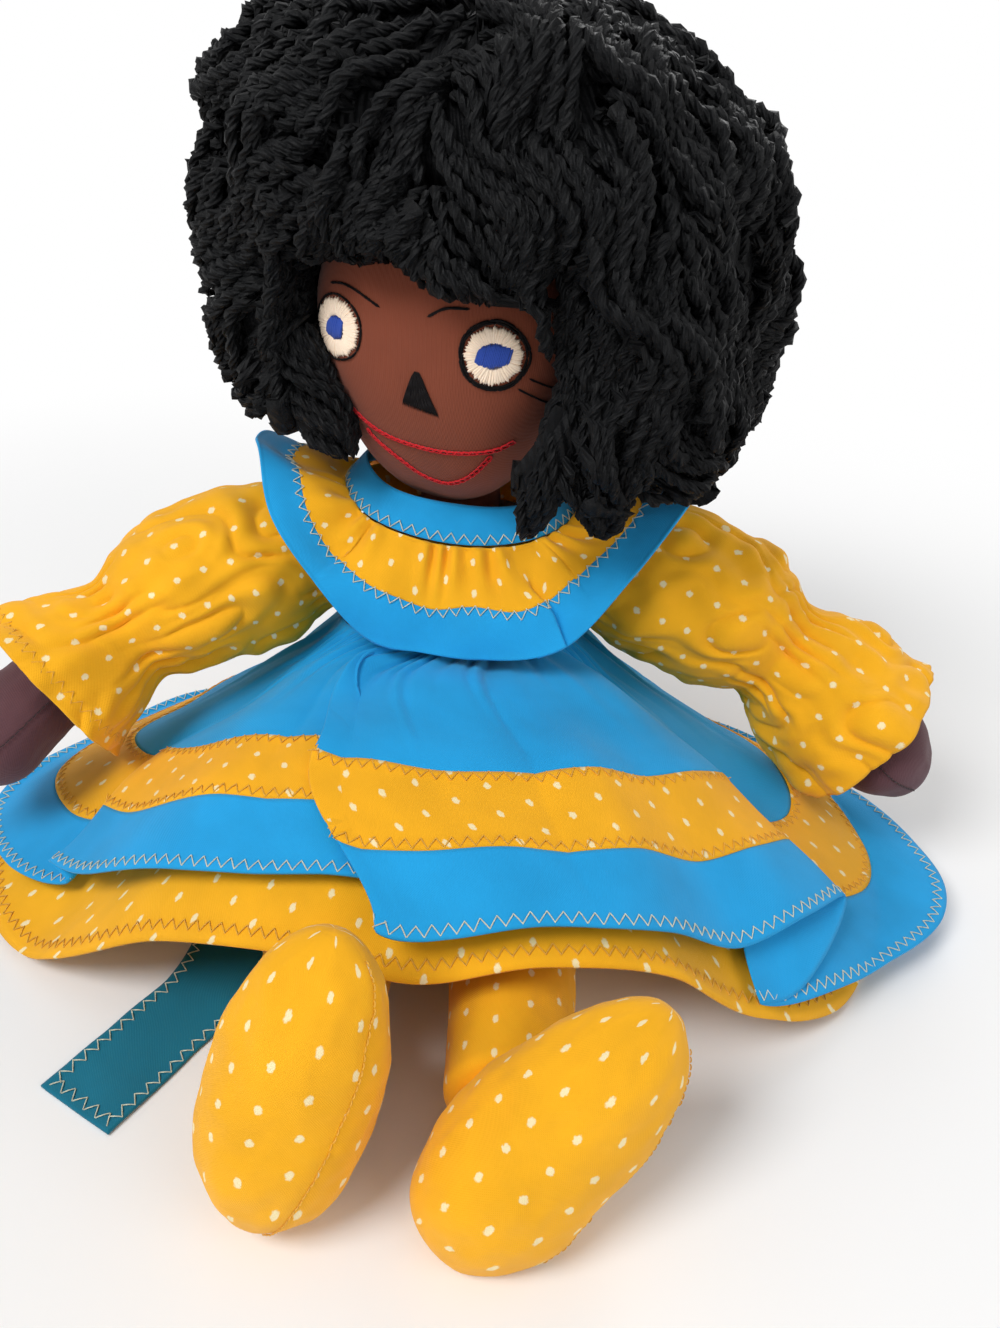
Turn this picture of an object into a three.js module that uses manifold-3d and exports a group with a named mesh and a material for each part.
// Folk rag doll, seated with its legs out in front: a stuffed cloth body, yarn hair,
// a dotted dress, and a pinafore with a wide gathered collar.
// Millimetres, +Z up. The doll faces -Y, so its own right side is at -X.
// The origin lies on the table under the middle of the seat.
import * as THREE from 'three';
import { mergeVertices } from 'three/addons/utils/BufferGeometryUtils.js';
import Module from 'manifold-3d';

const wasm = await Module();
wasm.setup();

// Driving sizes
const seam = 0.35; // clearance between two pieces that touch
const cloth = 2.2; // thickness of a skirt or collar layer with its hem
const thinCloth = 1.4; // thickness of the bodice, ribbons and bands

const torsoTop = 147; // top of the stuffed torso above the table
const shoulderDrop = 23; // from there down to the shoulder seams
const waistHeight = 98; // waist above the table
const torsoHalfWidth = 47; // half the width of the torso at the belly
const torsoHalfDepth = 33; // half the depth of the torso at the belly
const pressed = 0.5; // how deep the table presses the seat and the heels flat

const neckRadius = 17;
const headHalfWidth = 52;
const headHalfDepth = 46;
const headHalfHeight = 64;
const neckLength = 8; // from the torso to the chin
const headForward = 8; // the head's middle stands this far in front of the neck
const headTurnDegrees = -22; // at rest the head looks to the doll's right
const headTiltDegrees = 3; // at rest the head leans to the doll's left

const hairOutSide = 54; // how far the hair stands out beyond the head at the sides
const hairOutBack = 42;
const hairOutTop = 22;

const hipSpacing = 62; // distance between the middles of the two hip seams
const hipForward = 29.5; // hip seams in front of the middle plane
const hipHeight = 22; // hip seams above the table
const hipNose = 7; // radius of the flattened end that is sewn to the torso
const thighHalfWidth = 25;
const thighHalfThickness = 22;
const legLength = 168; // hip seam to ankle
const footLength = 98;
const footHalfWidth = 27.5;
const footHalfThickness = 25;

const armStart = 47.5; // where the stuffed arms begin, from the middle plane
const armLength = 154; // shoulder seam to the middle of the hand
const armRadius = 17;
const handHalfWidth = 30;
const handHalfThickness = 22;
const sleeveRadius = 34;
const sleeveGatherRadius = 23;
const cuffRadius = 37;
const elasticWidth = 3;
const elasticThickness = 1.6;

const apronAir = 2.4; // space between the apron and the dress skirt
const apronBandStart = 0.6; // share of the apron's length above the dotted band
const apronBandEnd = 0.82;
const collarBorderStart = 0.6; // share of the collar's width inside the blue border

const ribbonWidth = 33;
const eyeSpacing = 60; // between the middles of the eyes, along the face
const eyeHeight = 3; // above the middle of the head
const stitchWidth = 1.5;
const stitchHeight = 0.9; // how far embroidery stands off the cloth
const patchHeight = 1.1; // how far the eyes and nose stand off the cloth

// Colours
const yellowCloth = { color: 0xf3b018, roughness: 0.9, metalness: 0 };
const blueCloth = { color: 0x1c9cd8, roughness: 0.85, metalness: 0 };
const tealCloth = { color: 0x156a84, roughness: 0.85, metalness: 0 };
const brownCloth = { color: 0x6c3a2a, roughness: 0.88, metalness: 0 };
const handCloth = { color: 0x583a42, roughness: 0.88, metalness: 0 };
const blackYarn = { color: 0x141618, roughness: 0.95, metalness: 0 };
const blackThread = { color: 0x191212, roughness: 0.9, metalness: 0 };
const creamThread = { color: 0xe1cdaa, roughness: 0.7, metalness: 0 };
const blueThread = { color: 0x263c8c, roughness: 0.7, metalness: 0 };
const blackFelt = { color: 0x262426, roughness: 0.95, metalness: 0 };
const redThread = { color: 0xd71e28, roughness: 0.7, metalness: 0 };
const whiteElastic = { color: 0xe6e2d6, roughness: 0.8, metalness: 0 };

const shoulderHeight = torsoTop - shoulderDrop;
const apronLift = cloth + apronAir;
const headCentre = new THREE.Vector3(-1, -headForward, torsoTop + neckLength + headHalfHeight);

const radians = THREE.MathUtils.degToRad;
const doll = new THREE.Group();

// A smooth value through knots [position, value], clamped outside them.
function smooth(knots, x) {
  const last = knots.length - 1;
  if (x <= knots[0][0]) return knots[0][1];
  if (x >= knots[last][0]) return knots[last][1];
  let i = 0;
  while (x > knots[i + 1][0]) i += 1;
  const [x0, y0] = knots[i];
  const [x1, y1] = knots[i + 1];
  const before = knots[Math.max(i - 1, 0)];
  const after = knots[Math.min(i + 2, last)];
  const slope0 = (y1 - before[1]) / (x1 - before[0]);
  const slope1 = (after[1] - y0) / (after[0] - x0);
  const span = x1 - x0;
  const t = (x - x0) / span;
  const h00 = (1 + 2 * t) * (1 - t) ** 2;
  const h10 = t * (1 - t) ** 2;
  const h01 = t * t * (3 - 2 * t);
  const h11 = t * t * (t - 1);
  return h00 * y0 + h10 * span * slope0 + h01 * y1 + h11 * span * slope1;
}

// The same through angles in degrees that close on themselves after a full turn.
function smoothAround(knots, degrees) {
  const turn = ((degrees + 180) % 360 + 360) % 360 - 180;
  const before = knots.slice(-2).map(([a, v]) => [a - 360, v]);
  const after = knots.slice(0, 2).map(([a, v]) => [a + 360, v]);
  return smooth([...before, ...knots, ...after], turn);
}

// A closed skin over rings of points, with a point or a flat lid at each end.
function skin(rings) {
  const sides = rings[0].length;
  const points = rings.flat();
  const index = [];
  for (let r = 0; r < rings.length - 1; r += 1) {
    for (let s = 0; s < sides; s += 1) {
      const a = r * sides + s;
      const b = r * sides + (s + 1) % sides;
      index.push(a, b, b + sides, a, b + sides, a + sides);
    }
  }
  const middle = (ring) => ring.reduce((sum, p) => sum.add(p), new THREE.Vector3()).divideScalar(sides);
  const first = points.length;
  points.push(middle(rings[0]), middle(rings[rings.length - 1]));
  const end = (rings.length - 1) * sides;
  for (let s = 0; s < sides; s += 1) {
    const t = (s + 1) % sides;
    index.push(first, t, s);
    index.push(first + 1, end + s, end + t);
  }
  const geometry = new THREE.BufferGeometry();
  const flat = points.flatMap((p) => [p.x, p.y, p.z]);
  geometry.setAttribute('position', new THREE.Float32BufferAttribute(flat, 3));
  geometry.setIndex(index);
  return geometry;
}

// One ring of a section: two half widths along the given directions, a power above 2 squares it.
function ring(centre, across, up, halfAcross, halfUp, sides, power = 2) {
  const points = [];
  for (let s = 0; s < sides; s += 1) {
    const angle = (2 * Math.PI * s) / sides;
    const c = Math.cos(angle);
    const n = Math.sin(angle);
    const shape = (Math.abs(c) ** power + Math.abs(n) ** power) ** (-1 / power);
    points.push(centre.clone()
      .addScaledVector(across, c * shape * halfAcross)
      .addScaledVector(up, n * shape * halfUp));
  }
  return points;
}

// A stuffed tube along a smooth line: widths swell and taper through their knots.
function stuffedTube(line, halfAcross, halfUp, acrossHint, steps, sides) {
  const rings = [];
  for (let i = 0; i <= steps; i += 1) {
    const t = i / steps;
    const along = line.getTangentAt(t);
    const up = new THREE.Vector3().crossVectors(acrossHint, along).normalize();
    const across = new THREE.Vector3().crossVectors(along, up).normalize();
    rings.push(ring(line.getPointAt(t), across, up, smooth(halfAcross, t), smooth(halfUp, t), sides));
  }
  return skin(rings);
}

function curveThrough(points) {
  return new THREE.CatmullRomCurve3(points.map((p) => new THREE.Vector3(...p)), false, 'catmullrom', 0.5);
}

// Solids for cutting and joining
function solid(geometry) {
  const bare = new THREE.BufferGeometry();
  bare.setAttribute('position', geometry.getAttribute('position'));
  bare.setIndex(geometry.getIndex());
  const merged = mergeVertices(bare, 1e-4);
  return new wasm.Manifold(new wasm.Mesh({
    numProp: 3,
    vertProperties: new Float32Array(merged.getAttribute('position').array),
    triVerts: new Uint32Array(merged.getIndex().array),
  }));
}

function geometryOf(body) {
  const mesh = body.getMesh();
  const geometry = new THREE.BufferGeometry();
  geometry.setAttribute('position', new THREE.BufferAttribute(mesh.vertProperties, 3));
  geometry.setIndex(new THREE.BufferAttribute(mesh.triVerts, 1));
  return geometry;
}

function cut(body, ...tools) {
  return tools.reduce((left, tool) => left.subtract(tool), body);
}

function largest(body) {
  return body.decompose().sort((a, b) => b.volume() - a.volume())[0];
}

function box(x0, x1, y0, y1, z0, z1) {
  const geometry = new THREE.BoxGeometry(x1 - x0, y1 - y0, z1 - z0);
  geometry.translate((x0 + x1) / 2, (y0 + y1) / 2, (z0 + z1) / 2);
  return solid(geometry);
}

// A geometry pushed out along its normals by a clearance.
function grown(geometry, by) {
  const copy = geometry.clone();
  copy.computeVertexNormals();
  const position = copy.getAttribute('position');
  const normal = copy.getAttribute('normal');
  for (let i = 0; i < position.count; i += 1) {
    position.setXYZ(
      i,
      position.getX(i) + by * normal.getX(i),
      position.getY(i) + by * normal.getY(i),
      position.getZ(i) + by * normal.getZ(i),
    );
  }
  return copy;
}

function add(name, geometry, looks, parent = doll) {
  geometry.computeVertexNormals();
  const mesh = new THREE.Mesh(geometry, new THREE.MeshStandardMaterial(looks));
  mesh.name = name;
  parent.add(mesh);
  return mesh;
}

// A layer of cloth between two edges of a surface given as a function of two numbers from 0 to 1.
// around: the first number closes on itself.
function clothLayer(surface, uSteps, vSteps, thickness, around, u0 = 0, u1 = 1, v0 = 0, v1 = 1) {
  const rings = [];
  const eps = 1e-3;
  const sideOf = (u, v) => {
    const du = surface(u + eps, v).sub(surface(u - eps, v));
    const dv = surface(u, v + eps).sub(surface(u, v - eps));
    return du.cross(dv).normalize();
  };
  const uCount = around ? uSteps : uSteps + 1;
  for (let i = 0; i < uCount; i += 1) {
    const u = u0 + ((u1 - u0) * i) / uSteps;
    const top = [];
    const bottom = [];
    for (let j = 0; j <= vSteps; j += 1) {
      const v = v0 + ((v1 - v0) * j) / vSteps;
      const point = surface(u, v);
      const normal = sideOf(u, v);
      top.push(point.clone().addScaledVector(normal, thickness / 2));
      bottom.push(point.clone().addScaledVector(normal, -thickness / 2));
    }
    rings.push([...top, ...bottom.reverse()]);
  }
  return around ? closedLoop(rings) : facingOut(skin(rings));
}

// Rings that close on themselves, as a tube with a wall does.
function closedLoop(rings) {
  const sides = rings[0].length;
  const index = [];
  rings.forEach((_, r) => {
    const next = (r + 1) % rings.length;
    for (let s = 0; s < sides; s += 1) {
      const t = (s + 1) % sides;
      index.push(r * sides + s, r * sides + t, next * sides + t);
      index.push(r * sides + s, next * sides + t, next * sides + s);
    }
  });
  const geometry = new THREE.BufferGeometry();
  const flat = rings.flat().flatMap((p) => [p.x, p.y, p.z]);
  geometry.setAttribute('position', new THREE.Float32BufferAttribute(flat, 3));
  geometry.setIndex(index);
  return facingOut(geometry);
}

// Turns a body inside out where its rings ran the other way round.
function facingOut(geometry) {
  const position = geometry.getAttribute('position');
  const index = geometry.getIndex().array;
  let volume = 0;
  const a = new THREE.Vector3();
  const b = new THREE.Vector3();
  const c = new THREE.Vector3();
  for (let i = 0; i < index.length; i += 3) {
    a.fromBufferAttribute(position, index[i]);
    b.fromBufferAttribute(position, index[i + 1]);
    c.fromBufferAttribute(position, index[i + 2]);
    volume += a.dot(b.cross(c));
  }
  if (volume < 0) {
    for (let i = 0; i < index.length; i += 3) {
      [index[i + 1], index[i + 2]] = [index[i + 2], index[i + 1]];
    }
  }
  return geometry;
}

// Torso
const torsoSquare = 2.7; // above 2 a section is squarer than an ellipse
const waistShares = [0.93, 0.9]; // of the half width and half depth, at the waist
const torsoSections = [
  // height, middle in Y, share of the half width, share of the half depth
  [-pressed, 7, 0.62, 0.36],
  [3, 6.8, 0.84, 0.6],
  [8, 6.5, 0.95, 0.68],
  [15, 6.5, 1.04, 0.79],
  [hipHeight, 6.5, 1.07, 0.87],
  [30, 5, 1.08, 0.95],
  [40, 2, 1.06, 1.0],
  [62, 0, 1.0, 1.0],
  [waistHeight, 0, ...waistShares],
  [shoulderHeight - 8, 0, 1.02, 0.88],
  [shoulderHeight + 6, 0, 1.04, 0.8],
  [torsoTop - 8, 0, 0.86, 0.68],
  [torsoTop - 2, 0, 0.6, 0.5],
  [torsoTop, 0, 0.4, 0.38],
];
const xAxis = new THREE.Vector3(1, 0, 0);
const yAxis = new THREE.Vector3(0, 1, 0);

function torsoSkin(extra) {
  const rings = torsoSections.map(([z, y, wide, deep]) => ring(
    new THREE.Vector3(0, y, z),
    xAxis,
    yAxis,
    torsoHalfWidth * wide + extra,
    torsoHalfDepth * deep + extra,
    20,
    torsoSquare,
  ));
  return skin(rings);
}

const table = box(-400, 400, -400, 400, -60, 0);

// The room that each arm takes at the shoulder, through the bodice to the torso
const armRoom = 3; // clearance around the arm's sewn end
const armEndShare = 0.7; // width of the arm's sewn end, as a share of its full width
const shoulderRoom = ['right', 'left'].map((side) => {
  const mirror = side === 'right' ? -1 : 1;
  const room = new THREE.CylinderGeometry(1, 1, 40, 20);
  room.rotateZ(Math.PI / 2);
  room.scale(1, armRadius * armEndShare + armRoom, armRadius * armEndShare + armRoom);
  room.translate(mirror * (armStart - seam + 20), 0, shoulderHeight);
  return solid(room);
});
const torsoSolid = cut(solid(torsoSkin(0)), table, ...shoulderRoom);
add('torso', geometryOf(torsoSolid), brownCloth);

// Bodice of the dress, close over the torso
const bodiceInner = solid(torsoSkin(seam));
const bodiceOuter = solid(torsoSkin(seam + thinCloth));
const bodiceSolid = cut(
  bodiceOuter.intersect(box(-90, 90, -90, 90, waistHeight + 1, torsoTop - 3)),
  bodiceInner,
  ...shoulderRoom,
);
add('bodice', geometryOf(bodiceSolid), yellowCloth);

// Legs and feet
const ankleY = -hipForward - legLength;
const legLines = {
  // ankle and heel: across and height, and across and in front of the ankle
  // roll leans the foot outward, turn brings the heel's point inward
  right: { hip: -hipSpacing / 2, ankle: [-38, 25], roll: 13, heel: [-44, 17], turn: 3 },
  left: { hip: hipSpacing / 2, ankle: [30, 25], roll: 42, heel: [14, 21], turn: 9 },
};

function legSkin(line, extra) {
  const inner = line.hip;
  const [ankleX, ankleZ] = line.ankle;
  const at = (share) => inner + (ankleX - inner) * share;
  const path = curveThrough([
    [inner, -hipForward + hipNose, hipHeight],
    [inner, -hipForward - 12, hipHeight + 0.5],
    [at(0.25), -hipForward - 42, thighHalfThickness + 3],
    [at(0.55), -hipForward - 92, thighHalfThickness + 3],
    [at(0.8), -hipForward - 135, thighHalfThickness + 3],
    [ankleX, ankleY, ankleZ],
  ]);
  const wide = [[0, 0.55], [0.03, 0.78], [0.12, 0.9], [0.3, 1], [0.6, 1], [0.85, 0.9], [1, 0.86]];
  const thick = [
    [0, (hipNose * 0.3) / thighHalfThickness],
    [0.015, (hipNose * 0.72) / thighHalfThickness],
    [0.04, hipNose / thighHalfThickness],
    [0.16, 0.72],
    [0.3, 1],
    [0.7, 0.97],
    [0.85, 0.94],
    [1, 0.9],
  ];
  return stuffedTube(
    path,
    wide.map(([t, v]) => [t, v * thighHalfWidth + extra]),
    thick.map(([t, v]) => [t, v * thighHalfThickness + extra]),
    xAxis,
    13,
    14,
  );
}

// A foot: a boot shape that rises from the heel on the table to a rounded toe.
function footSkin(line, extra) {
  const roll = radians(line.roll);
  const lean = radians(15);
  const upright = new THREE.Vector3(Math.sin(roll), Math.sin(lean), Math.cos(roll)).normalize();
  const heel = new THREE.Vector3(line.heel[0], ankleY - line.heel[1], -pressed);
  const place = (share, out) => heel.clone()
    .addScaledVector(upright, share * footLength)
    .add(new THREE.Vector3(0, out, 0));
  const path = new THREE.CatmullRomCurve3([
    place(0.02, 0).sub(new THREE.Vector3(line.turn, 0, 0)),
    place(0.2, -2).sub(new THREE.Vector3(line.turn / 3, 0, 0)),
    place(0.45, 0),
    place(0.75, -1),
    place(0.97, 2),
  ], false, 'catmullrom', 0.5);
  const wide = [
    [0, 0.3], [0.06, 0.62], [0.2, 0.92], [0.4, 1], [0.65, 0.93], [0.85, 0.72], [0.95, 0.46], [1, 0.22],
  ];
  const thick = [
    [0, 0.34], [0.06, 0.66], [0.2, 0.98], [0.4, 1], [0.65, 0.8], [0.85, 0.56], [0.95, 0.36], [1, 0.18],
  ];
  const across = new THREE.Vector3(Math.cos(roll), 0, -Math.sin(roll));
  return facingOut(stuffedTube(
    path,
    wide.map(([t, v]) => [t, v * footHalfWidth + extra]),
    thick.map(([t, v]) => [t, v * footHalfThickness + extra]),
    across,
    12,
    16,
  ));
}

for (const side of ['right', 'left']) {
  const line = legLines[side];
  const foot = footSkin(line, 0);
  add(`${side}_foot`, geometryOf(cut(solid(foot), table)), yellowCloth);
  const leg = cut(solid(facingOut(legSkin(line, 0))), solid(grown(foot, seam)), table);
  add(`${side}_leg`, geometryOf(largest(leg)), yellowCloth);
}

// Arms, hands and sleeves
const armLines = {
  // how far the resting arm droops, and how far it points forward, in degrees
  right: { mirror: -1, droop: 21, forward: 26, cuffEnd: 0.74 },
  left: { mirror: 1, droop: 25, forward: 11, cuffEnd: 0.83 },
};

for (const side of ['right', 'left']) {
  const { mirror, droop, forward, cuffEnd } = armLines[side];
  const level = armLength * Math.cos(radians(droop));
  const reach = level * Math.cos(radians(forward));
  const handY = -level * Math.sin(radians(forward));
  const drop = -armLength * Math.sin(radians(droop));
  const along = (share, y, z) => [
    mirror * (armStart + share * reach),
    y * handY,
    shoulderHeight + z * drop,
  ];
  const sides = 14;
  const path = curveThrough([
    along(-0.03, 0, 0),
    along(0.06, 0, 0),
    along(0.2, 0.04, 0.05),
    along(0.45, 0.22, 0.22),
    along(0.72, 0.55, 0.55),
    along(1, 1, 1),
    along(1.17, 1.24, 1.25),
  ]);
  const armWide = [[0, armEndShare], [0.1, 0.95], [0.5, 1.02], [0.66, 1.05], [0.72, 1.1]];
  const handShare = handHalfWidth / armRadius;
  const thickShare = handHalfThickness / armRadius;
  const handSwell = [[0.8, 0.85], [0.88, 1], [0.95, 0.78], [1, 0.3]];
  const wide = [...armWide, ...handSwell.map(([t, v]) => [t, v * handShare])];
  const thick = [...armWide, ...handSwell.map(([t, v]) => [t, v * thickShare])];
  const armSkin = (extra) => facingOut(stuffedTube(
    path,
    wide.map(([t, v]) => [t, v * armRadius + extra]),
    thick.map(([t, v]) => [t, v * armRadius + extra]),
    yAxis,
    15,
    sides,
  ));
  const beyondSeam = box(-armStart, armStart, -60, 60, 60, torsoTop + 40);
  add(`${side}_arm`, geometryOf(cut(solid(armSkin(0)), beyondSeam)), handCloth);

  // the sleeve runs out over the arm and back inside itself, with a groove for its elastic
  const gather = 0.54; // share of the arm's line at the elastic
  const lineLength = path.getLength();
  const halfBand = elasticWidth / 2 / lineLength;
  const ringAt = (t, radius) => {
    const tangent = path.getTangentAt(t);
    const up = new THREE.Vector3().crossVectors(yAxis, tangent).normalize();
    const across = new THREE.Vector3().crossVectors(tangent, up).normalize();
    return ring(path.getPointAt(t), across, up, radius, radius, sides);
  };
  const outside = [
    [0.05, 0.62], [0.08, 0.72], [0.12, 0.84], [0.2, 0.97], [0.3, 1], [0.4, 0.97], [0.48, 0.84],
  ].map(([t, v]) => ringAt(t, v * sleeveRadius));
  const frillOut = [[0.61, 0.78], [0.69, 0.92], [cuffEnd, 1]];
  const frillBack = [[cuffEnd - 0.01, 1], [0.69, 0.9], [0.62, 0.72]];
  const frill = frillOut.map(([t, v]) => ringAt(t, v * cuffRadius));
  const inside = frillBack.map(([t, v]) => ringAt(t, v * cuffRadius - cloth));
  const bore = armRadius * 1.06 + 2 * seam;
  const groove = bore + elasticThickness + seam;
  const slack = 0.4 * halfBand;
  const innerWall = [
    ringAt(gather + halfBand + slack, bore),
    ringAt(gather + halfBand + 0.9 * slack, groove),
    ringAt(gather - halfBand - 0.9 * slack, groove),
    ringAt(gather - halfBand - slack, bore),
    ringAt(0.4, bore),
    ringAt(0.28, bore),
    ringAt(0.12, bore),
    ringAt(0.05, bore - 1),
  ];
  const sleeveRings = [...outside, ringAt(gather, sleeveGatherRadius), ...frill, ...inside, ...innerWall];
  add(`${side}_sleeve`, closedLoop(sleeveRings), yellowCloth);
  const elasticRings = [
    ringAt(gather - halfBand, bore),
    ringAt(gather - halfBand, bore + elasticThickness),
    ringAt(gather + halfBand, bore + elasticThickness),
    ringAt(gather + halfBand, bore),
  ];
  add(`${side}_sleeve_elastic`, closedLoop(elasticRings), whiteElastic);
}

// Skirts. An angle of 0 points to the front, 90 to the doll's left and -90 to its right.
const skirtReach = [
  // angle, hem distance from the middle
  [-180, 84], [-150, 92], [-120, 128], [-95, 172], [-75, 202], [-60, 207], [-50, 201], [-30, 176],
  [0, 172], [16, 176], [36, 189], [50, 203], [65, 200], [90, 176], [120, 128], [150, 92],
];
const skirtHem = [
  // angle, hem height of the cloth's middle
  [-180, 5], [-120, 5], [-90, 7], [-60, 9], [-48, 12], [-32, 40], [-14, 56], [0, 50], [13, 58], [27, 50],
  [38, 18], [48, 7], [60, 6], [90, 6], [150, 5],
];
const skirtFall = [
  // angle, power of the fall from waist to hem: above 1 stays high first
  [-180, 0.75], [-120, 0.75], [-90, 0.7], [-60, 0.85], [-30, 1.9],
  [0, 2.1], [30, 1.9], [60, 1.0], [90, 0.75], [120, 0.75],
];

const skirtWaistHalfWidth = torsoHalfWidth * waistShares[0] + thinCloth + 2 * seam;
const skirtWaistHalfDepth = torsoHalfDepth * waistShares[1] + thinCloth + 2 * seam;
function skirtWaist(angle) {
  const c = Math.abs(Math.sin(angle)) / skirtWaistHalfWidth;
  const n = Math.abs(Math.cos(angle)) / skirtWaistHalfDepth;
  return (c ** torsoSquare + n ** torsoSquare) ** (-1 / torsoSquare);
}

// Height of the dress skirt at a distance from the middle, in one direction.
function skirtHeight(degrees, distance) {
  const angle = radians(degrees);
  const inner = skirtWaist(angle);
  const outer = smoothAround(skirtReach, degrees);
  const t = Math.max(0, (distance - inner) / (outer - inner));
  const hem = smoothAround(skirtHem, degrees);
  const fall = smoothAround(skirtFall, degrees);
  const top = waistHeight - 2;
  const lift = Math.min(1, t);
  const folds = 2.6 * Math.sin(9 * angle + 0.6) * lift * Math.min(1, 4 * (1.12 - lift));
  return top - (top - hem) * Math.min(1, t) ** fall + folds * Math.max(0, Math.min(1, (top - hem) / 60));
}

function fromPolar(degrees, distance, height) {
  const angle = radians(degrees);
  return new THREE.Vector3(Math.sin(angle) * distance, -Math.cos(angle) * distance, height);
}

const dressSkirt = (u, v) => {
  const degrees = -180 + 360 * u;
  const inner = skirtWaist(radians(degrees)) + seam;
  const distance = inner + (smoothAround(skirtReach, degrees) - inner) * v;
  return fromPolar(degrees, distance, skirtHeight(degrees, distance));
};
add('dress_skirt', clothLayer(dressSkirt, 50, 6, cloth, true), yellowCloth);

// Apron skirt: open at the back, it lies over the dress skirt.
const apronReach = [
  [-140, 96], [-120, 130], [-95, 176], [-72, 202], [-58, 184], [-48, 174], [-34, 162], [-14, 165], [0, 167],
  [16, 174], [32, 183], [44, 191], [52, 198], [60, 208], [69, 227], [80, 214], [100, 172], [120, 128],
  [140, 96],
];
const apronPuff = [
  // angle, extra height of the apron's folds at the hem
  [-140, 0], [-95, 0], [-72, 0], [-58, 4], [-46, 12], [-34, 5], [-22, 1], [-14, 6], [0, 8],
  [16, 6], [32, 8], [42, 3], [52, 20], [60, 9], [69, 3], [80, 0], [100, 0], [140, 0],
];
const apronFrom = -134;
const apronTo = 134;
const apron = (u, v) => {
  const degrees = apronFrom + (apronTo - apronFrom) * u;
  const inner = skirtWaist(radians(degrees)) + 1.5;
  const outer = smooth(apronReach, degrees);
  const distance = inner + (outer - inner) * v;
  const under = skirtHeight(degrees, distance);
  const rise = (skirtHeight(degrees, distance + 8) - skirtHeight(degrees, distance - 8)) / 16;
  const tilt = Math.hypot(1, rise);
  const puff = smooth(apronPuff, degrees) * Math.sin(Math.PI * 0.5 * Math.max(0, v)) ** 1.5;
  return fromPolar(degrees, distance - (rise * apronLift) / tilt, under + apronLift / tilt + puff);
};
const apronShares = [
  ['apron_top', 0, apronBandStart, 4, blueCloth],
  ['apron_band', apronBandStart, apronBandEnd, 1, yellowCloth],
  ['apron_hem', apronBandEnd, 1, 2, blueCloth],
];
const apronSeam = 0.003; // share of the apron's length left open at each seam
for (const [name, from, to, steps, looks] of apronShares) {
  const v0 = from === 0 ? 0 : from + apronSeam;
  const v1 = to === 1 ? 1 : to - apronSeam;
  add(name, clothLayer(apron, 44, steps, cloth, false, 0, 1, v0, v1), looks);
}

// Waistband of the pinafore, with its bow at the back
function ovalBand(halfWidth, halfDepth, thickness, z0, z1, sides = 36) {
  const outline = (w, d) => {
    const points = [];
    for (let s = 0; s < sides; s += 1) {
      const c = Math.cos((2 * Math.PI * s) / sides);
      const n = Math.sin((2 * Math.PI * s) / sides);
      const shape = (Math.abs(c) ** torsoSquare + Math.abs(n) ** torsoSquare) ** (-1 / torsoSquare);
      points.push(new THREE.Vector2(c * shape * w, n * shape * d));
    }
    return points;
  };
  const shape = new THREE.Shape(outline(halfWidth + thickness, halfDepth + thickness));
  shape.holes.push(new THREE.Path(outline(halfWidth, halfDepth)));
  const geometry = new THREE.ExtrudeGeometry(shape, { depth: z1 - z0, bevelEnabled: false });
  geometry.translate(0, 0, z0);
  return solid(mergeBare(geometry));
}

function mergeBare(geometry) {
  const bare = new THREE.BufferGeometry();
  bare.setAttribute('position', geometry.getAttribute('position'));
  if (geometry.getIndex()) bare.setIndex(geometry.getIndex());
  return mergeVertices(bare, 1e-4);
}

const waistbandTop = waistHeight + 11.5;
const waistbandBottom = waistHeight - 2 + apronLift + cloth / 2 + seam;
const waistbandHalfWidth = torsoHalfWidth + thinCloth + 2 * seam;
const waistbandHalfDepth = skirtWaistHalfDepth;
add(
  'waistband',
  geometryOf(ovalBand(waistbandHalfWidth, waistbandHalfDepth, thinCloth, waistbandBottom, waistbandTop)),
  blueCloth,
);

// Neck and head
const neckInside = 10; // how far the neck reaches up around the chin
const neckPath = curveThrough([
  [0, 0, torsoTop - 4],
  [0, -headForward / 8, torsoTop + neckLength],
  [0, -headForward / 2, torsoTop + neckLength + neckInside],
]);
const neckSwell = [[0, neckRadius], [1, neckRadius]];
const neckSkin = facingOut(stuffedTube(neckPath, neckSwell, neckSwell, xAxis, 3, 20));

const head = new THREE.Group();
head.position.copy(headCentre);
head.rotation.set(0, radians(headTiltDegrees), radians(headTurnDegrees), 'ZYX');
head.updateMatrix();
const headSquare = 2.6; // above 2 a section is squarer than an ellipse
const headSections = [
  // share of the half height, share of the half width, share of the half depth
  [-1, 0.1, 0.1],
  [-0.97, 0.24, 0.27],
  [-0.9, 0.4, 0.44],
  [-0.76, 0.57, 0.64],
  [-0.6, 0.7, 0.79],
  [-0.4, 0.83, 0.91],
  [-0.2, 0.93, 0.98],
  [0, 0.985, 1],
  [0.2, 1, 0.99],
  [0.42, 0.93, 0.93],
  [0.62, 0.8, 0.81],
  [0.8, 0.61, 0.62],
  [0.92, 0.4, 0.41],
  [0.98, 0.2, 0.2],
  [1, 0.08, 0.08],
];
function headSkin(extra) {
  return skin(headSections.map(([z, wide, deep]) => ring(
    new THREE.Vector3(0, 0, z * (headHalfHeight + extra)),
    xAxis,
    yAxis,
    headHalfWidth * wide + extra,
    headHalfDepth * deep + extra,
    24,
    headSquare,
  )));
}

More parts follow.
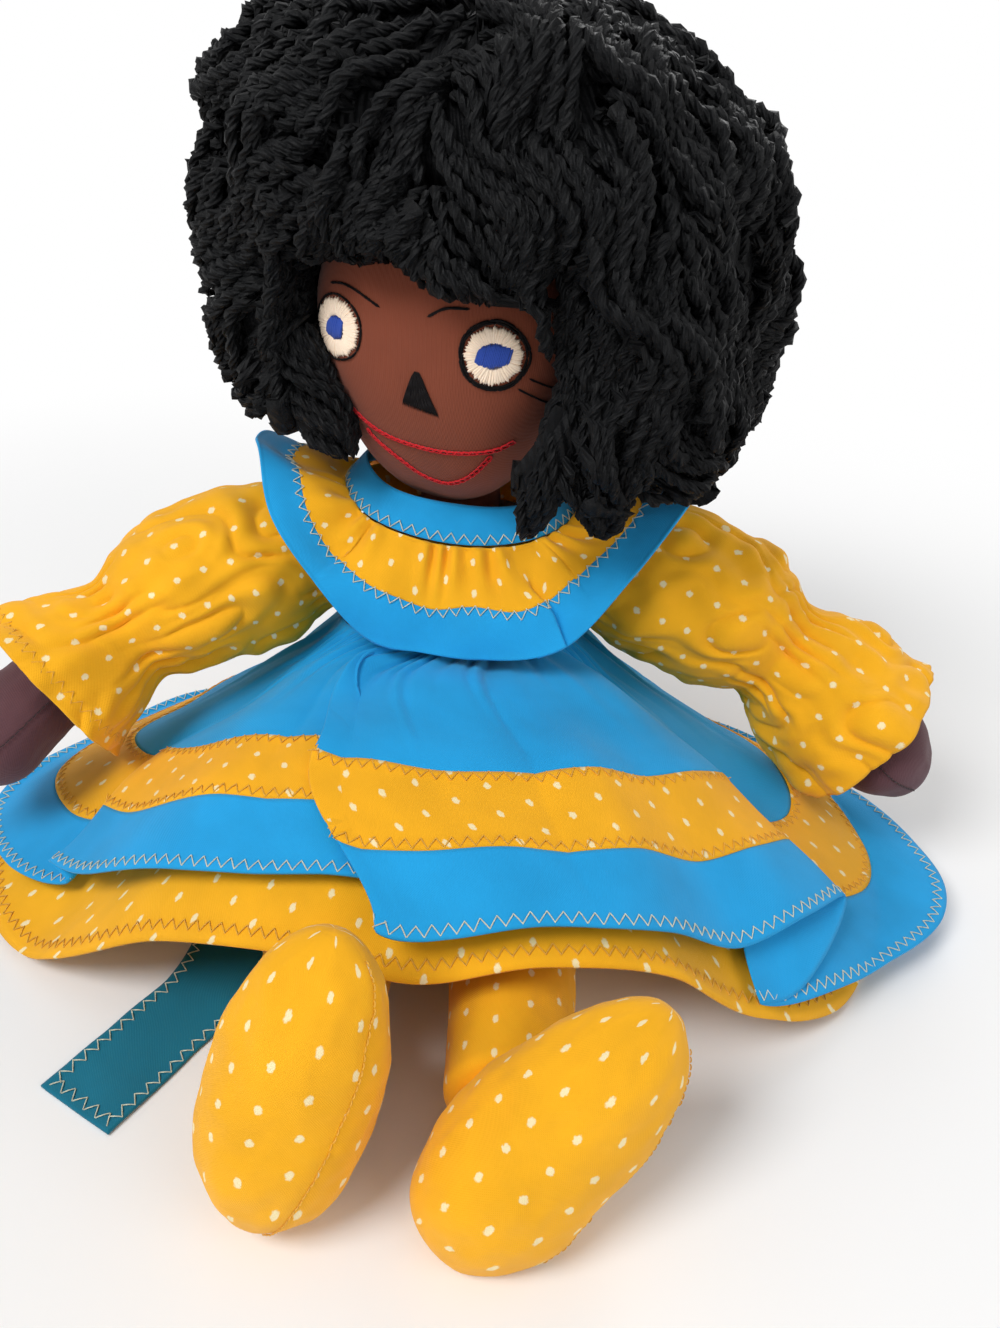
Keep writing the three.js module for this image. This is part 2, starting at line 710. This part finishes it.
// The head nods about a line across the neck, just above the chin's lowest point.
const nodPoint = new THREE.Vector3(0, -headForward, torsoTop + neckLength + 3);
const upward = new THREE.Vector3(0, 0, 1);
const nodAxis = xAxis.clone().applyAxisAngle(upward, radians(headTurnDegrees));
const nodSteps = [-10, -6, -2, 2, 5, 8]; // degrees, the whole nod from back to front
function nodded(degrees) {
  const copy = headSkin(seam);
  copy.applyMatrix4(head.matrix);
  copy.translate(-nodPoint.x, -nodPoint.y, -nodPoint.z);
  copy.applyMatrix4(new THREE.Matrix4().makeRotationAxis(nodAxis, radians(degrees)));
  copy.translate(nodPoint.x, nodPoint.y, nodPoint.z);
  return solid(copy);
}
const underNeck = box(-60, 60, -60, 60, waistHeight, torsoTop + seam);
add('neck', geometryOf(cut(solid(neckSkin), underNeck, ...nodSteps.map(nodded))), brownCloth);
add('head', headSkin(0), brownCloth, head);
doll.add(head);

// The face: thin pieces that follow the head's front.
// outline: points across and up the face, seen from the front.
function onFace(outline, height, lift = 0, holes = []) {
  const shape = new THREE.Shape(outline);
  for (const hole of holes) shape.holes.push(new THREE.Path(hole));
  const prism = new THREE.ExtrudeGeometry(shape, { depth: 120, bevelEnabled: false });
  prism.rotateX(Math.PI / 2);
  const layer = solid(headSkin(seam + lift + height)).subtract(solid(headSkin(seam + lift)));
  return geometryOf(layer.intersect(solid(mergeBare(prism))));
}

function oval(x, z, halfWidth, halfHeight, count = 20) {
  const points = [];
  for (let i = 0; i < count; i += 1) {
    const angle = (2 * Math.PI * i) / count;
    points.push(new THREE.Vector2(x + Math.cos(angle) * halfWidth, z + Math.sin(angle) * halfHeight));
  }
  return points;
}

// A stitched line: a strip of even width along a few points.
function strip(points, width) {
  const line = points.map(([x, z]) => new THREE.Vector2(x, z));
  const left = [];
  const right = [];
  line.forEach((point, i) => {
    const before = line[Math.max(i - 1, 0)];
    const after = line[Math.min(i + 1, line.length - 1)];
    const along = after.clone().sub(before).normalize();
    const side = new THREE.Vector2(-along.y, along.x).multiplyScalar(width / 2);
    left.push(point.clone().add(side));
    right.push(point.clone().sub(side));
  });
  return [...left, ...right.reverse()];
}

// Places on the face are shares of the head's half width and half height.
const onHead = ([x, z]) => [x * headHalfWidth, z * headHalfHeight];
const eyeShapes = {
  // middle across, half width and half height of the eye, of the iris, width of the outline
  right: { x: -eyeSpacing / 2, eye: [10, 11], iris: [4.4, 5], rim: 1.1 },
  left: { x: eyeSpacing / 2, eye: [9, 10.8], iris: [5.4, 5.6], rim: 1.7 },
};
for (const side of ['right', 'left']) {
  const { x, eye, iris, rim } = eyeShapes[side];
  const z = eyeHeight;
  const white = oval(x, z, eye[0], eye[1]);
  const pupilHole = oval(x, z, iris[0] + seam, iris[1] + seam, 14);
  const rimHole = oval(x, z, eye[0] + seam, eye[1] + seam);
  const rimEdge = oval(x, z, eye[0] + seam + rim, eye[1] + seam + rim);
  add(`${side}_eye_outline`, onFace(rimEdge, stitchHeight, 0, [rimHole]), blackThread, head);
  add(`${side}_eye_white`, onFace(white, patchHeight, 0, [pupilHole]), creamThread, head);
  add(`${side}_iris`, onFace(oval(x, z, iris[0], iris[1], 14), patchHeight, 0), blueThread, head);
}
const nose = [[0.1, -0.0625], [-0.015, -0.273], [0.242, -0.297]].map(onHead);
add('nose', onFace(nose.map(([x, z]) => new THREE.Vector2(x, z)), patchHeight), blackFelt, head);
const browsAndLashes = {
  // millimetres from the middle of the eye on that side
  right_eyebrow: [[-4, 14.5], [3, 15.6], [10, 14.5], [20, 11]],
  left_eyebrow: [[-22.4, 11], [-16.2, 14.6], [-8, 15.6]],
  left_lash_upper: [[10.6, -5.9], [15.2, -11]],
  left_lash_lower: [[8, -11], [13.5, -17.5]],
};
for (const [name, points] of Object.entries(browsAndLashes)) {
  const side = name.split('_')[0];
  const line = points.map(([x, z]) => [eyeShapes[side].x + x, eyeHeight + z]);
  add(name, onFace(strip(line, stitchWidth * 0.7), stitchHeight), blackThread, head);
}
const lips = {
  mouth_upper: [
    [-0.5, -0.356], [-0.275, -0.459], [-0.073, -0.503], [0.204, -0.517],
    [0.417, -0.505], [0.587, -0.477], [0.692, -0.422],
  ],
  mouth_lower: [
    [-0.288, -0.531], [-0.096, -0.641], [0.038, -0.719], [0.192, -0.753],
    [0.308, -0.728], [0.423, -0.656], [0.531, -0.547],
  ],
};
for (const [name, line] of Object.entries(lips)) {
  add(name, onFace(strip(line.map(onHead), stitchWidth), stitchHeight), redThread, head);
}

// Hair: one rounded mass of yarn around the head, sewn on in rows that part at the crown.
const hairMiddle = new THREE.Vector3(0, 27, 25); // from the middle of the head
const hairHalf = new THREE.Vector3(
  headHalfWidth + hairOutSide,
  headHalfDepth + hairOutBack,
  headHalfHeight + hairOutTop,
);
const hairSquare = 2.8; // above 2 the mass is squarer than an ellipsoid
const hairSquareBelow = 3.6; // the same for its lower half
const hairLean = 0.12; // how far it leans to the right as it rises
const hairPoint = (u, v) => {
  const around = 2 * Math.PI * u;
  const up = Math.PI * (v - 0.5);
  const direction = new THREE.Vector3(
    Math.cos(up) * Math.cos(around),
    Math.cos(up) * Math.sin(around),
    Math.sin(up),
  );
  const square = up > 0 ? hairSquare : hairSquareBelow + (hairSquare - hairSquareBelow) * Math.exp(3 * up);
  const size = ['x', 'y', 'z'].reduce((sum, axis) => sum + Math.abs(direction[axis]) ** square, 0);
  const ridges = 0.03 * Math.sin(7 * around + 2 * Math.sin(3 * up)) * Math.cos(up);
  const lumps = ridges + 0.02 * Math.sin(5 * up + 3 * around);
  const point = direction.multiplyScalar((1 + lumps) / size ** (1 / square)).multiply(hairHalf);
  point.x -= hairLean * point.z;
  return point.add(hairMiddle);
};
const hairRings = [];
for (let r = 0; r <= 12; r += 1) {
  const points = [];
  for (let s = 0; s < 28; s += 1) points.push(hairPoint(s / 28, 0.02 + (0.96 * r) / 12));
  hairRings.push(points);
}
const hairAll = cut(
  solid(facingOut(skin(hairRings))),
  solid(headSkin(seam)),
);
const half = seam / 2;
const chin = -headHalfHeight; // from the middle of the head
const fringeHeight = 22; // lower edge of the fringe above the middle of the head
const crownHeight = 50; // where the crown's rows begin
const nape = chin + 32; // lower edge of the hair behind the shoulders
const napeMiddle = chin + 20; // the same behind the neck
const napeHalfWidth = 45;
const napeDepth = 70;
const hairDrop = { right: chin + 32, left: chin + 26 }; // lower edge of the hair at the sides
const partingX = 8;
const sideX = headHalfWidth - 6;
const frontY = -14;
const sideFrontY = -40; // the left side keeps back from the eye
const backY = 26;
const far = 150;
const hairParts = {
  hair_fringe: box(-sideX + half, sideX - half, -far, frontY - half, fringeHeight, crownHeight - half),
  hair_crown_right: box(-far, partingX - half, -far, far, crownHeight + half, far),
  hair_crown_left: box(partingX + half, far, -far, far, crownHeight + half, far),
  hair_side_right: box(-far, -sideX - half, -far, backY - half, hairDrop.right, crownHeight - half),
  hair_side_left: box(sideX + half, far, sideFrontY, backY - half, hairDrop.left, crownHeight - half),
  hair_back_right: box(-far, -half, backY + half, far, nape, crownHeight - half)
    .add(box(-napeHalfWidth, -half, backY + half, napeDepth, napeMiddle, nape + 1)),
  hair_back_left: box(half, far, backY + half, far, nape, crownHeight - half)
    .add(box(half, napeHalfWidth, backY + half, napeDepth, napeMiddle, nape + 1)),
};
// A solid with its clearance on every side
const withClearance = (body) => {
  const shifts = [
    [-seam, 0, 0], [seam, 0, 0], [0, -seam, 0], [0, seam, 0], [0, 0, -seam], [0, 0, seam],
  ];
  return shifts.reduce((sum, shift) => sum.add(body.translate(shift)), body);
};
let hairKeepOut = solid(headSkin(seam));
for (const [name, region] of Object.entries(hairParts)) {
  const piece = largest(hairAll.intersect(region));
  add(name, geometryOf(piece), blackYarn, head);
  if (name.startsWith('hair_side')) hairKeepOut = hairKeepOut.add(withClearance(piece));
}

// Tresses that hang free below the mass, beside the face
const tresses = {
  // points from top to tip: across, in front of the middle and above the chin; then the half width
  hair_tress_right: [[[-47, 41, 55], [-43, 43, 44], [-37, 45, 33], [-31, 46, 22]], 12],
  hair_tress_left_front: [[[59, 33, 62], [57, 39, 40], [53, 41, 20], [47, 38, 5]], 10.5],
  hair_tress_left_middle: [[[74, 29, 34], [75, 33, 22], [72, 34, 12]], 10.5],
  hair_tress_left_back: [[[92, 4, 38], [94, 4, 31], [93, 4, 26]], 12],
};
const tressSwell = [[0, 0.6], [0.2, 0.95], [0.5, 1], [0.8, 0.86], [0.94, 0.5], [1, 0.2]];
for (const [name, [points, halfWidth]] of Object.entries(tresses)) {
  const widths = tressSwell.map(([t, v]) => [t, v * halfWidth]);
  const line = curveThrough(points.map(([x, front, up]) => [x, -front, chin + up]));
  const tress = facingOut(stuffedTube(line, widths, widths, xAxis, 7, 10));
  add(name, geometryOf(largest(cut(solid(tress), hairKeepOut))), blackYarn, head);
}

// Neckband and collar
const bandLine = [
  // angle, then distance and height above the torso of the upper edge and of the lower edge
  [-180, 32, 16, 40, 6],
  [-90, 39.4, 22, 47, 11],
  [-45, 38, 16, 46, 5],
  [0, 31.4, 11.8, 39.5, -1],
  [45, 37, 11.2, 45, 0],
  [90, 40, 13, 48, 3],
];
const bandKnots = (column) => bandLine.map((row) => [row[0], row[column]]);
const [bandTopR, bandTopZ, bandLowR, bandLowZ] = [1, 2, 3, 4].map(bandKnots);
const neckband = (u, v) => {
  const degrees = -180 + 360 * u;
  const upper = torsoTop + smoothAround(bandTopZ, degrees);
  const lower = torsoTop + smoothAround(bandLowZ, degrees);
  const from = fromPolar(degrees, smoothAround(bandTopR, degrees), upper);
  return from.lerp(fromPolar(degrees, smoothAround(bandLowR, degrees), lower), v);
};
add('neckband', clothLayer(neckband, 32, 1, thinCloth, true), blueCloth);

// Yoke of the dress: it carries the collar and hangs from the neck to the bodice.
const yokeShares = [0.86, 0.68]; // of the torso's half sizes, where the yoke meets the bodice
const overBodice = thinCloth * 1.5 + 4 * seam;
const yoke = (u, v) => {
  const degrees = -180 + 360 * u;
  const c = Math.abs(Math.sin(radians(degrees))) / (torsoHalfWidth * yokeShares[0] + overBodice);
  const n = Math.abs(Math.cos(radians(degrees))) / (torsoHalfDepth * yokeShares[1] + overBodice);
  const low = (c ** torsoSquare + n ** torsoSquare) ** (-1 / torsoSquare);
  const upper = torsoTop + smoothAround(bandLowZ, degrees) - 2.2 * thinCloth;
  const from = fromPolar(degrees, smoothAround(bandLowR, degrees) - 0.5, upper);
  return from.lerp(fromPolar(degrees, low, torsoTop - 8), v);
};
add('dress_yoke', clothLayer(yoke, 28, 1, thinCloth, true), yellowCloth);

const collarEdge = [
  // angle, distance and height above the torso of the outer edge
  [-180, 64, -29],
  [-150, 68, -21],
  [-120, 78, 5],
  [-90, 85, 25],
  [-75, 81, 27],
  [-60, 81, 6],
  [-47, 74, -14],
  [-31, 64, -36],
  [-10, 60, -39],
  [11, 61, -40],
  [36, 75, -33],
  [54, 86, -5],
  [66, 97, 22],
  [82, 96, 23],
  [105, 84, 5],
  [130, 72, -17],
  [155, 65, -27],
];
const collarR = collarEdge.map(([a, r]) => [a, r]);
const collarZ = collarEdge.map(([a, , z]) => [a, z]);
const collar = (u, v) => {
  const degrees = -180 + 360 * u;
  const r0 = smoothAround(bandLowR, degrees) + 0.5;
  const z0 = torsoTop + smoothAround(bandLowZ, degrees) - thinCloth;
  const r1 = smoothAround(collarR, degrees);
  const z1 = torsoTop + smoothAround(collarZ, degrees);
  const folds = 1.5 * Math.sin(10 * radians(degrees)) * Math.sin(Math.PI * Math.min(1, Math.max(0, v)));
  const sag = (z0 - z1 > 20 ? 6 : 0) * v * (1 - v);
  return fromPolar(degrees, r0 + (r1 - r0) * v, z0 + (z1 - z0) * v + sag + folds);
};
const collarSeam = 0.008;
const collarShares = [
  ['collar_ruffle', 0.02, collarBorderStart - collarSeam, 3, yellowCloth],
  ['collar_border', collarBorderStart + collarSeam, 1, 2, blueCloth],
];
for (const [name, from, to, steps, looks] of collarShares) {
  add(name, clothLayer(collar, 48, steps, thinCloth, true, 0, 1, from, to), looks);
}

// Bow and sash behind the waist
// A flat ribbon along a line; each point gives its place and the way its face looks.
// taper: shares of the width along the line.
function ribbon(points, width, thickness, steps, taper = [[0, 1], [1, 1]]) {
  const path = curveThrough(points.map(([place]) => place));
  const looks = curveThrough(points.map(([, look]) => look));
  const rings = [];
  for (let i = 0; i <= steps; i += 1) {
    const t = i / steps;
    const along = path.getTangentAt(t);
    const centre = path.getPointAt(t);
    const look = looks.getPoint(t);
    if (centre.z < thickness) {
      centre.z = thickness / 2;
      along.z = 0;
      look.set(0, 0, 1);
    }
    const across = new THREE.Vector3().crossVectors(along, look).normalize();
    const up = new THREE.Vector3().crossVectors(across, along).normalize();
    const corner = (a, b) => {
      const point = centre.clone()
        .addScaledVector(across, (a * width * smooth(taper, t)) / 2)
        .addScaledVector(up, (b * thickness) / 2);
      point.z = Math.max(point.z, b > 0 ? thickness : 0); // the table stops it
      return point;
    };
    rings.push([corner(-1, -1), corner(0, -1), corner(1, -1), corner(1, 1), corner(0, 1), corner(-1, 1)]);
  }
  return facingOut(skin(rings));
}

const bowY = waistbandHalfDepth + thinCloth - 1; // the knot is pressed against the waistband
const bowZ = (waistbandBottom + waistbandTop) / 2 - 2;
const knotHalf = [9, 6.5, 8]; // half width, depth and height of the bow's knot
const knotY = bowY + knotHalf[1];
const knotPath = curveThrough([
  [-knotHalf[0], knotY, bowZ],
  [0, knotY + 0.5, bowZ],
  [knotHalf[0], knotY, bowZ],
]);
const knotSwell = [[0, 0.45], [0.25, 0.92], [0.5, 1], [0.75, 0.92], [1, 0.45]];
const knotSkin = facingOut(stuffedTube(
  knotPath,
  knotSwell.map(([t, v]) => [t, v * knotHalf[1]]),
  knotSwell.map(([t, v]) => [t, v * knotHalf[2]]),
  yAxis,
  8,
  12,
));
const knotGrown = solid(grown(knotSkin, seam));
add('bow_knot', geometryOf(cut(solid(knotSkin), ovalBandKeepOut())), blueCloth);

// Everything inside the waistband's back face, with the clearance.
function ovalBandKeepOut() {
  const w = waistbandHalfWidth + thinCloth + seam;
  const d = waistbandHalfDepth + thinCloth + seam;
  const middle = new THREE.Vector3(0, 0, waistbandBottom - 30);
  const top = new THREE.Vector3(0, 0, waistbandBottom + 30);
  return solid(skin([middle, top].map((at) => ring(at, xAxis, yAxis, w, d, 36, torsoSquare))));
}

for (const side of ['right', 'left']) {
  const mirror = side === 'right' ? -1 : 1;
  const loopPath = curveThrough([
    [mirror * (knotHalf[0] - 4), knotY + 1, bowZ],
    [mirror * 24, knotY + 5, bowZ + 1],
    [mirror * 42, knotY + 8, bowZ + 2],
    [mirror * 58, knotY + 8, bowZ],
  ]);
  const swell = [[0, 0.3], [0.25, 0.7], [0.6, 1], [0.85, 0.9], [1, 0.45]];
  const loop = facingOut(stuffedTube(
    loopPath,
    swell.map(([t, v]) => [t, v * 7]),
    swell.map(([t, v]) => [t, v * 13]),
    yAxis,
    10,
    12,
  ));
  const body = cut(solid(loop), knotGrown, ovalBandKeepOut());
  add(`bow_loop_${side}`, geometryOf(largest(body)), blueCloth);
}

// Short ties that hang from under the collar to the waistband at each side
const tieWidth = 9;
for (const side of ['right', 'left']) {
  const mirror = side === 'right' ? -1 : 1;
  const tie = [
    [[mirror * 46, -37, torsoTop - 6.8], [mirror * 0.5, -1, 0]],
    [[mirror * 48, -36, torsoTop - 17], [mirror * 0.5, -1, 0]],
    [[mirror * 48, -33, torsoTop - 29], [mirror * 0.6, -1, 0.1]],
    [[mirror * 45.5, -29, waistbandTop], [mirror * 0.7, -1, 0.1]],
    [[mirror * 41.4, -25.4, waistbandTop - 6], [mirror * 0.75, -1, 0]],
  ];
  add(`side_tie_${side}`, ribbon(tie, tieWidth, thinCloth, 6), blueCloth);
}

const lying = thinCloth / 2; // a ribbon's middle where it lies on the table
const onTable = [0, 0, 1];
const sashTop = bowZ - knotHalf[2] - thinCloth; // under the knot
const sashRight = [
  [[-2.7, knotY + 1, sashTop], [0, 1, 0.1]],
  [[-17, 62, 82], [-0.1, 1, 0.4]],
  [[-24, 80, 48], [-0.1, 1, 0.5]],
  [[-29, 93, 14], [-0.2, 0.9, 0.8]],
  [[-40, 106, lying], onTable],
  [[-66, 104, lying], onTable],
  [[-88, 76, lying], onTable],
  [[-88, 20, lying], onTable],
  [[-82, -50, lying], onTable],
  [[-80, -122, lying], onTable],
  [[-96, -158, lying + 0.3], onTable],
  [[-113, -188, lying], onTable],
];
const sashLeft = [
  [[2.7, knotY + 1, sashTop], [0, 1, 0.1]],
  [[18, 64, 80], [0.1, 1, 0.4]],
  [[28, 82, 46], [0.2, 1, 0.5]],
  [[38, 96, 12], [0.3, 0.9, 0.8]],
  [[50, 112, lying], onTable],
  [[72, 140, lying], onTable],
];
const sashRightTaper = [[0, 0.14], [0.07, 0.6], [0.15, 1]];
const sashLeftTaper = [[0, 0.14], [0.2, 0.6], [0.4, 1]];
add('sash_right', ribbon(sashRight, ribbonWidth, thinCloth, 34, sashRightTaper), tealCloth);
add('sash_left', ribbon(sashLeft, ribbonWidth, thinCloth, 16, sashLeftTaper), tealCloth);

export default doll;
